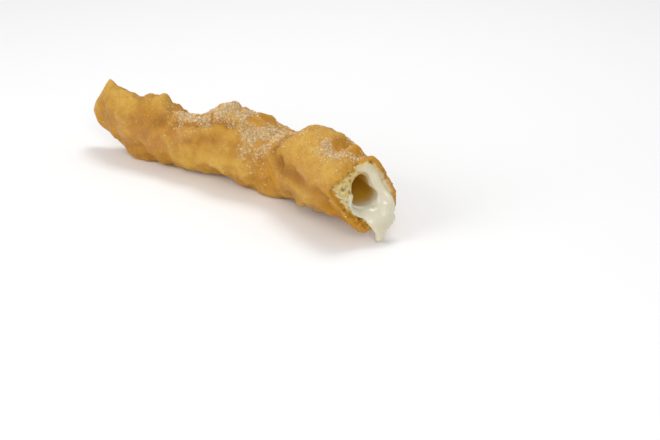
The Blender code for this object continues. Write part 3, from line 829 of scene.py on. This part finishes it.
# the last of these is painted shade deep in the cavity
for mark, paint in (("soaked", SOAKED), ("smeared", SMEAR), ("deep_shade", CAVITY_SHADE)):
    crumb_colour = crust.mixed(crust.mark(mark), crumb_colour, paint)
colour = crust.mixed(crust.mark("crumb"), colour, crumb_colour)
wet = crust.mark("soaked") + crust.mark("smeared")
roughness = (0.43 + 0.2 * mottle + 0.2 * dust - 0.14 * wet).kept()
relief = crust.bump(crust.noise(2.4 * MM, 6.0, 0.62), 0.34 * MM, 0.7)
relief = crust.bump(speck, 0.14 * MM, 0.5, relief)
crust.fill(crust.shader, {
    "Base Color": colour, "Roughness": roughness, "Normal": relief, "IOR": 1.42, "Specular IOR Level": 0.24,
    "Subsurface Weight": 0.14, "Subsurface Radius": (1.0, 0.42, 0.14), "Subsurface Scale": 1.5 * MM,
})
dough.data.materials.append(crust.material)


# The cream: a soft pale custard, piped into the cavity. It has sunk to a lining with a hollow in it, coats
# the far side of the torn face, and runs over the lower lip in a tongue that ends in a hanging drop.

FILM, LINING_OVERLAP = 0.7 * MM, 0.8 * MM  # its least thickness, and how far it reaches into the wall
LINING_BACK, LINING_EDGE = 1.5 * MM, 0.9 * MM  # how far it stays off the cavity's blind end and its edge
HOLLOW_FROM, HOLLOW_CLOSED = 140 * MM, 122 * MM
HOLLOW_SHUT, HOLLOW_LEAST = 0.95, 0.06  # share of its radius that closes there, and share that always stays
POOL_DEPTH = 1.6 * MM
SIDE_DEPTH, SIDE_TURN, SIDE_REACH = 2.6 * MM, math.radians(-60), math.radians(42)
LINING_COLUMNS, LINING_ROWS, HOLLOW_ROWS = 120, 90, 60

# The coat on the torn face: turn, outer edge and inner edge as shares of the face, thickness
COAT = (
    (10, 0.30, 0.80, 0.5),
    (0, 0.12, 0.94, 1.0),
    (-14, 0.08, 1.08, 1.4),
    (-32, 0.34, 1.24, 1.5),
    (-54, 0.56, 1.34, 1.5),
    (-78, 0.62, 1.36, 1.5),
    (-94, 0.50, 1.30, 1.6),
    (-108, 0.20, 1.24, 1.9),
    (-126, 0.02, 1.22, 2.4),
    (-150, -0.04, 1.24, 2.7),
    (-170, 0.08, 1.24, 2.4),
    (-182, 0.44, 1.22, 2.1),
    (-196, 0.56, 1.18, 1.7),
    (-214, 0.56, 1.12, 1.4),
    (-232, 0.58, 1.10, 1.3),
    (-252, 0.70, 1.08, 1.2),
    (-266, 0.80, 1.06, 1.0),
)
COAT_SWELL = 0.8  # the share of the rim's swell that it follows
COAT_ROWS, COAT_COLUMNS = 120, 28

# The tongue: distance past the mouth, height, aside to the far side, half width, half thickness
TONGUE_STATIONS = (
    (-10, 14.4, 5.4, 4.0, 1.6),
    (-6, 14.4, 5.4, 6.8, 2.4),
    (-1, 14.4, 6.2, 7.8, 2.6),
    (3.4, 13.4, 7.0, 7.4, 2.4),
    (6.0, 11.4, 7.2, 7.8, 2.2),
    (7.6, 9.2, 7.0, 6.4, 2.0),
    (8.4, 7.4, 6.2, 4.4, 1.8),
    (8.5, 5.8, 5.7, 2.8, 1.8),
    (8.4, 4.6, 5.5, 2.2, 1.8),
    (8.2, 3.4, 5.4, 2.0, 2.0),
    (8.1, 2.0, 5.4, 2.0, 1.9),
    (8.1, 1.3, 5.4, 1.0, 0.9),
)
TONGUE_ROWS, TONGUE_COLUMNS = 90, 48
CREAM_GRAIN, CREAM_ROUNDS = 0.47 * MM, 6

# Its tones: a veil where it is spread so thin that dough shows, which grows from the hollow outwards, and
# a painted shade that the hanging tongue takes in part below a height. Behind the mouth the thin film is
# painted dark as shade, with the bank beside, the pool and the roof of the hollow lit for a short way, and
# a darker painted shade deep in. Each pair is where a tone begins to change, and over what stretch.
VEIL_TURN, VEIL_REACH, VEIL_LEAST, VEIL_GROWS = math.radians(-52), math.radians(46), 0.45, 0.8
VEIL_OUT = (8 * MM, 5 * MM)
# painted shade on the hanging tongue below a height: its strength, the height, and the stretch
TONGUE_SHADE, TONGUE_SHADE_BELOW, TONGUE_SHADE_OVER = 0.6, 13 * MM, 4 * MM
# painted shade: where the thin film behind the mouth and the hollow deeper in begin to darken, and over
# what stretch
THIN_SHADE_IN, DEEP_SHADE_IN = (0.5 * MM, 5 * MM), (8 * MM, 26 * MM)
BANK_REACH, BANK_LIT, BANK_IN = math.radians(50), 0.35, (4 * MM, 6 * MM)
ROOF_REACH, ROOF_LIT, ROOF_IN = math.radians(40), 0.3, (3 * MM, 7 * MM)


def rising(value, start, over):
    """0 until a value reaches the start, then eased up to 1 over the stretch after it."""
    return ease((value - start) / over)


def wall_by_lip(distances, around):
    """The cavity's wall up to the cream's edge behind the mouth, with the middle of each ring."""
    s, turn = grid(distances, around)
    wall = cavity_wall(s + (cavity_forward(turn) - LINING_EDGE) * (s / LENGTH) ** TORN_POWER, turn)
    return s, turn, wall, wall.mean(1, keepdims=True)


def lining(rows, hollow_rows, count):
    """Rings along the cavity's wall to the mouth, then back along the hollow: the wall drawn towards its
    middle by a film, a pool that grows with the square of how far a point faces down, and a bank beside,
    and drawn shut at the hollow's end."""
    around = np.arange(count) * 2 * math.pi / count
    _, _, wall, middle = wall_by_lip(np.linspace(CAVITY_FROM + LINING_BACK, LENGTH, rows), around)
    reach = np.linalg.norm(wall - middle, axis=-1)
    outside = wall + (wall - middle) / reach[..., None] * LINING_OVERLAP
    s, turn, wall, middle = wall_by_lip(np.linspace(LENGTH, HOLLOW_CLOSED, hollow_rows), around)
    reach = np.linalg.norm(wall - middle, axis=-1)
    bank = SIDE_DEPTH * np.exp(-((wrapped(turn - SIDE_TURN) / SIDE_REACH) ** 2))
    shut = HOLLOW_SHUT * reach * ease((HOLLOW_FROM - s) / (HOLLOW_FROM - HOLLOW_CLOSED))
    depth = FILM + POOL_DEPTH * np.maximum(0, -np.cos(turn)) ** 2 + bank + shut
    hollow = middle + (wall - middle) * np.clip(1 - depth / reach, HOLLOW_LEAST, 1)[..., None]
    return np.concatenate([outside, hollow])


def coat(rows, count):
    """A flat sausage bent along the torn face: at each turn an ellipse, wide across the face and thin
    along the mouth's axis, both read from the coat's table, and following the face's swell."""
    turn, outer, inner, thick = (values[:, None] for values in read_rows(COAT, rows))
    turn = np.radians(turn)
    skin = dough_skin(LENGTH + torn(turn), turn)[0]
    edge = cavity_wall(LENGTH + cavity_forward(turn), turn)
    around = (np.arange(count) * 2 * math.pi / count)[None]
    share = (outer + inner) / 2 + (outer - inner) / 2 * np.cos(around)
    forward = COAT_SWELL * RIM_SWELL * np.sin(math.pi * np.clip(share, 0, 1)) + thick * MM * np.sin(around)
    return skin + (edge - skin) * share[..., None] + mouth_axis * forward[..., None]


def tongue(rows, count):
    """Ellipses along the tongue's path, each across the path and level from side to side."""
    past, height, beside, wide, thick = (values * MM for values in read_rows(TONGUE_STATIONS, rows))
    run, rise = np.gradient(past), np.gradient(height)
    length = np.hypot(run, rise)
    around = np.arange(count) * 2 * math.pi / count
    across = -thick[:, None] * np.sin(around)
    s = LENGTH + past[:, None] - across * (rise / length)[:, None]
    aside = beside[:, None] - wide[:, None] * np.cos(around)
    return placed(s, aside, height[:, None] + across * (run / length)[:, None])


# The three bodies overlap. They are joined, remeshed into one skin, and smoothed as thick cream settles.
parts = []
for name, body in (
    ("lining", lining(LINING_ROWS, HOLLOW_ROWS, LINING_COLUMNS)),
    ("coat", coat(COAT_ROWS, COAT_COLUMNS)),
    ("tongue", tongue(TONGUE_ROWS, TONGUE_COLUMNS)),
):
    part = bpy.data.objects.new(name, ring_mesh(name, body + shift))
    bpy.context.scene.collection.objects.link(part)
    parts.append(part)
with bpy.context.temp_override(active_object=parts[0], selected_editable_objects=parts):
    bpy.ops.object.join()
cream = parts[0]
cream.name = cream.data.name = "churro_cream"
fused = cream.modifiers.new("fused", "REMESH")
fused.mode, fused.voxel_size, fused.use_smooth_shade = "VOXEL", CREAM_GRAIN, True
settled = cream.modifiers.new("settled", "SMOOTH")
settled.factor, settled.iterations = 0.5, CREAM_ROUNDS
evaluated = cream.evaluated_get(bpy.context.evaluated_depsgraph_get())
made = bpy.data.meshes.new_from_object(evaluated)
cream.modifiers.clear()
cream.data = made
cream.data.shade_smooth()

at = np.zeros(len(made.vertices) * 3, np.float32)
made.vertices.foreach_get("co", at)
at = at.reshape(-1, 3) - shift
mouth = cavity_wall(np.full(64, LENGTH), np.arange(64) * math.pi / 32).mean(0)
inwards = (mouth - at) @ mouth_axis
aside = (at - mouth) @ np.array([-mouth_axis[1], mouth_axis[0], 0.0])
above = at[:, 2] - mouth[2]
round_it, out_from = np.arctan2(-aside, above), np.hypot(aside, above)
behind = rising(inwards, *THIN_SHADE_IN)
veil_and_shade = np.exp(-((wrapped(round_it - VEIL_TURN) / VEIL_REACH) ** 2)) * (1 - behind)
veil_and_shade = veil_and_shade * (VEIL_LEAST + VEIL_GROWS * rising(out_from, *VEIL_OUT))
# painted shade on the hanging tongue below a height
veil_and_shade = np.maximum(veil_and_shade, TONGUE_SHADE * ease((TONGUE_SHADE_BELOW - at[:, 2]) / TONGUE_SHADE_OVER))
roof = np.exp(-((round_it / ROOF_REACH) ** 2)) * (1 - rising(inwards, *ROOF_IN))
bank = np.exp(-((wrapped(round_it - SIDE_TURN) / BANK_REACH) ** 2))
pool = np.maximum(0, -np.cos(round_it)) ** 2
lit = np.clip(bank + pool, 0, 1) * (1 - rising(inwards, *BANK_IN))
cream_marks = {
    # painted shade on the thin film behind the mouth, held off where the bank, pool and roof stay lit
    "thin_and_shaded": behind * (1 - BANK_LIT * lit - ROOF_LIT * roof),
    # painted shade deep in the hollow
    "deep_shade": rising(inwards, *DEEP_SHADE_IN),
    "veil_and_shade": veil_and_shade,
}
for mark, values in cream_marks.items():
    made.attributes.new(mark, "FLOAT", "POINT").data.foreach_set("value", values.astype(np.float32))
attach(cream, "root")
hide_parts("cream")

# Linear colours of the cream
CREAM = (0.705, 0.665, 0.515, 1)
CREAM_WARM = (0.65, 0.58, 0.41, 1)
# the thin veil's tone, also painted shade on the hanging tongue
VEIL_AND_SHADE_CREAM = (0.60, 0.52, 0.35, 1)
# painted shade on the thin film behind the mouth
THIN_SHADED_CREAM = (0.44, 0.27, 0.020, 1)
# painted shade deep in the hollow
DEEP_SHADE_CREAM = (0.33, 0.175, 0.006, 1)
GLOW = (0.070, 0.032, 0.002, 1)  # daylight that comes through the dough's wall into the hollow

custard = Finish("custard_cream")
cloud = custard.noise(7 * MM, 3.0)
colour = custard.mixed(custard.pushed(cloud, 0.4, 0.75) * 0.4, CREAM, CREAM_WARM)
thin_and_shaded = custard.mark("thin_and_shaded")
# the thin veil, and painted shade on the hanging tongue
colour = custard.mixed((custard.mark("veil_and_shade") * (1.25 - cloud)).kept(), colour, VEIL_AND_SHADE_CREAM)
# painted shade behind the mouth
colour = custard.mixed(thin_and_shaded, colour, THIN_SHADED_CREAM)
# painted shade deep in the hollow
colour = custard.mixed(custard.mark("deep_shade"), colour, DEEP_SHADE_CREAM)
custard.fill(custard.shader, {
    "Emission Color": custard.mixed(thin_and_shaded, (0, 0, 0, 1), GLOW), "Emission Strength": 1.0,
    "Base Color": colour, "Roughness": 0.14 + 0.12 * custard.noise(3 * MM, 2.0) + 0.5 * thin_and_shaded, "IOR": 1.42,
    "Coat Weight": 0.5 * (1 - thin_and_shaded), "Coat Roughness": 0.12,
    "Normal": custard.bump(custard.noise(3.2 * MM, 2.0, 0.4), 0.3 * MM, 0.35),
    "Subsurface Weight": 0.35, "Subsurface Radius": (1.0, 0.75, 0.45), "Subsurface Scale": 2.0 * MM,
})
cream.data.materials.append(custard.material)


# The sugar: crystals of a third to one millimetre, shaken over the hot dough with a little cinnamon. They
# lie in clumps and patches along the top, thin out down the sides, and a few cling anywhere.

SUGAR_GRAINS, SUGAR_SIZE = 8000, (0.32, 1.05)
SPICE_GRAINS, SPICE_SIZE = 2600, (0.18, 0.5)
STRAY_SHARE, LOOSE_SHARE = 0.0014, 0.12  # what clings anywhere, and what lies in a patch between its clumps
PATCH_POWER, CLUMP, CLUMP_COVER, CLUMP_CONTRAST = 1.4, 2.1 * MM, 0.4, 0.75
CRYSTAL_SIDES, CRYSTAL_KNOCK = (0.62, 1.0), 0.16  # its sides as shares of its size, and its corners' play
LEAST_HEIGHT = 1 * MM  # none lies where it would reach the table
SUNK = 0.28  # of a crystal's size, into the dough


def settle(draw, count, points, sugared):
    """Random places on the dough's quads and their normals, drawn in proportion to the quad's area times
    its sugar, and clumped by fine waves."""
    a, b = points[:-1, :], np.roll(points, -1, 1)[:-1, :]
    d, c = points[1:, :], np.roll(points, -1, 1)[1:, :]
    normal = np.cross(c - a, b - d).reshape(-1, 3)
    area = np.linalg.norm(normal, axis=1)
    clumped = LOOSE_SHARE + ease(CLUMP_COVER + CLUMP_CONTRAST * waves(a, CLUMP, 4.0)).reshape(-1)
    weight = area * (sugared[:-1].reshape(-1) ** PATCH_POWER * clumped + STRAY_SHARE)
    weight = weight * (a[..., 2].reshape(-1) > LEAST_HEIGHT)
    pick = draw.choice(len(weight), count, p=weight / weight.sum())
    u, v = draw.random((2, count, 1))
    a, b, c, d = (corner.reshape(-1, 3)[pick] for corner in (a, b, c, d))
    return (a * (1 - u) + b * u) * (1 - v) + (d * (1 - u) + c * u) * v, normal[pick] / area[pick, None]


def crystals(name, draw, places, normals, size_range):
    """One mesh of a box for each place. Its three sides are drawn apart, its corners knocked about, and it
    is turned at random by a unit quaternion of four normal draws."""
    count = len(places)
    low, high = size_range
    size = (low + (high - low) * draw.random(count) ** 2) * MM / 2
    corners = np.array([(x, y, z) for x in (-1, 1) for y in (-1, 1) for z in (-1, 1)], float)
    box = corners[None] * draw.uniform(*CRYSTAL_SIDES, (count, 1, 3))
    box = box + draw.uniform(-CRYSTAL_KNOCK, CRYSTAL_KNOCK, (count, 8, 3))
    spin = draw.normal(size=(count, 4))
    w, x, y, z = (spin / np.linalg.norm(spin, axis=1, keepdims=True)).T
    turned = np.stack([
        1 - 2 * (y * y + z * z), 2 * (x * y - w * z), 2 * (x * z + w * y),
        2 * (x * y + w * z), 1 - 2 * (x * x + z * z), 2 * (y * z - w * x),
        2 * (x * z - w * y), 2 * (y * z + w * x), 1 - 2 * (x * x + y * y),
    ], -1).reshape(count, 3, 3)
    up = places + normals * (size * (1 - 2 * SUNK))[:, None]
    points = up[:, None] + np.einsum("nij,nkj->nki", turned, box) * size[:, None, None]
    sides = np.array([(0, 1, 3, 2), (4, 6, 7, 5), (0, 4, 5, 1), (2, 3, 7, 6), (0, 2, 6, 4), (1, 5, 7, 3)])
    faces = (sides[None] + 8 * np.arange(count)[:, None, None]).reshape(-1, 4)
    mesh = bpy.data.meshes.new(name)
    mesh.from_pydata(points.reshape(-1, 3).tolist(), [], faces.tolist())
    tint = np.repeat(draw.random(count), 8).astype(np.float32)
    mesh.attributes.new("tint", "FLOAT", "POINT").data.foreach_set("value", tint)
    obj = bpy.data.objects.new(name, mesh)
    bpy.context.scene.collection.objects.link(obj)
    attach(obj, "root")
    return obj


# Linear colours of the crystals and the cinnamon
SUGAR_CLEAR = (0.78, 0.58, 0.33, 1)
SUGAR_TAN = (0.49, 0.28, 0.08, 1)
SUGAR_ROSE = (0.74, 0.46, 0.29, 1)
SPICE = (0.20, 0.075, 0.025, 1)
SPICE_LIGHT = (0.42, 0.20, 0.07, 1)

draw = np.random.default_rng(21)
outside, sugared = rings[:OUTER_ROWS], marks["sugared"][:OUTER_ROWS]
sugar = crystals("churro_sugar", draw, *settle(draw, SUGAR_GRAINS, outside, sugared), SUGAR_SIZE)
spice = crystals("churro_cinnamon", draw, *settle(draw, SPICE_GRAINS, outside, sugared), SPICE_SIZE)

clear = Finish("sugar_crystals")
tint = clear.mark("tint")
plain = clear.mixed(tint * tint, SUGAR_CLEAR, SUGAR_TAN)
clear.fill(clear.shader, {
    "Base Color": clear.mixed(clear.pushed(tint, 0.86, 0.9), plain, SUGAR_ROSE),
    "Roughness": 0.18 + 0.2 * clear.noise(1 * MM, 1.0), "IOR": 1.5,
    "Subsurface Weight": 0.5, "Subsurface Radius": (1.0, 0.8, 0.6), "Subsurface Scale": 0.8 * MM,
})
sugar.data.materials.append(clear.material)
ground = Finish("ground_cinnamon")
ground.fill(ground.shader, {
    "Base Color": ground.mixed(ground.mark("tint"), SPICE, SPICE_LIGHT),
    "Roughness": 0.7 + 0.2 * ground.noise(1 * MM, 1.0),
})
spice.data.materials.append(ground.material)


# The floor: a plain matt white sheet that takes the soft shadow. It isn't part of the food, and it is wide
# enough that no edge shows.

FLOOR_HALF = 3.0
floor_mesh = bpy.data.meshes.new("floor")
corners = [(x * FLOOR_HALF, y * FLOOR_HALF, 0) for x, y in ((-1, -1), (1, -1), (1, 1), (-1, 1))]
floor_mesh.from_pydata(corners, [], [(0, 1, 2, 3)])
floor = bpy.data.objects.new("floor", floor_mesh)
bpy.context.scene.collection.objects.link(floor)
paper = Finish("white_paper")
paper.fill(paper.shader, {"Base Color": (0.93, 0.93, 0.93, 1), "Roughness": 0.9, "Specular IOR Level": 0.1})
floor.data.materials.append(paper.material)
floor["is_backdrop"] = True


# The light: a bright room with three soft windows, a small one above and behind that lights the top, a
# large one in front, and one to the right that shines on the mouth.

SKY = 0.55
WINDOWS = (  # place, what it faces, side, watts
    ((-0.10, 0.30, 0.80), (0.0, 0.0, 0.0), 0.34, 2.5),
    ((-0.30, -0.80, 0.38), (0.0, 0.0, 0.02), 0.6, 3.4),
    ((0.55, -0.50, 0.50), (0.05, 0.0, 0.02), 0.3, 1.7),
)
scene = bpy.context.scene
scene.view_settings.view_transform = "Standard"
scene.world = bpy.data.worlds.new("room")
scene.world.use_nodes = True
sky = scene.world.node_tree.nodes["Background"]
sky.inputs["Color"].default_value = (1.0, 1.0, 1.0, 1)
sky.inputs["Strength"].default_value = SKY
for number, (place, faces, side, watts) in enumerate(WINDOWS):
    window = bpy.data.objects.new(f"window_{number}", bpy.data.lights.new(f"window_{number}", "AREA"))
    window.data.size, window.data.energy = side, watts
    window.location = place
    window.rotation_euler = (Vector(faces) - Vector(place)).to_track_quat("-Z", "Y").to_euler()
    scene.collection.objects.link(window)


# The camera: a long lens from the near side, high enough to look into the mouth. The object stands high and
# left of the middle of the picture, as it does in the photo.

AZIMUTH, ELEVATION = math.radians(38.5), math.radians(23)
DISTANCE, LENS = 0.75, 80.0
AIM_RIGHT, AIM_UP, AIM_HEIGHT = 0.0470, -0.0352, 0.019
right = Vector((math.cos(AZIMUTH), math.sin(AZIMUTH), 0))
level = math.cos(ELEVATION)
back = Vector((math.sin(AZIMUTH) * level, -math.cos(AZIMUTH) * level, math.sin(ELEVATION)))
aim = Vector((0, 0, AIM_HEIGHT)) + right * AIM_RIGHT + back.cross(right) * AIM_UP
camera = bpy.data.objects.new("camera", bpy.data.cameras.new("camera"))
camera.data.lens = LENS
camera.location = aim + back * DISTANCE
camera.rotation_euler = (-back).to_track_quat("-Z", "Y").to_euler()
scene.collection.objects.link(camera)
scene.camera = camera

low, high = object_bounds()
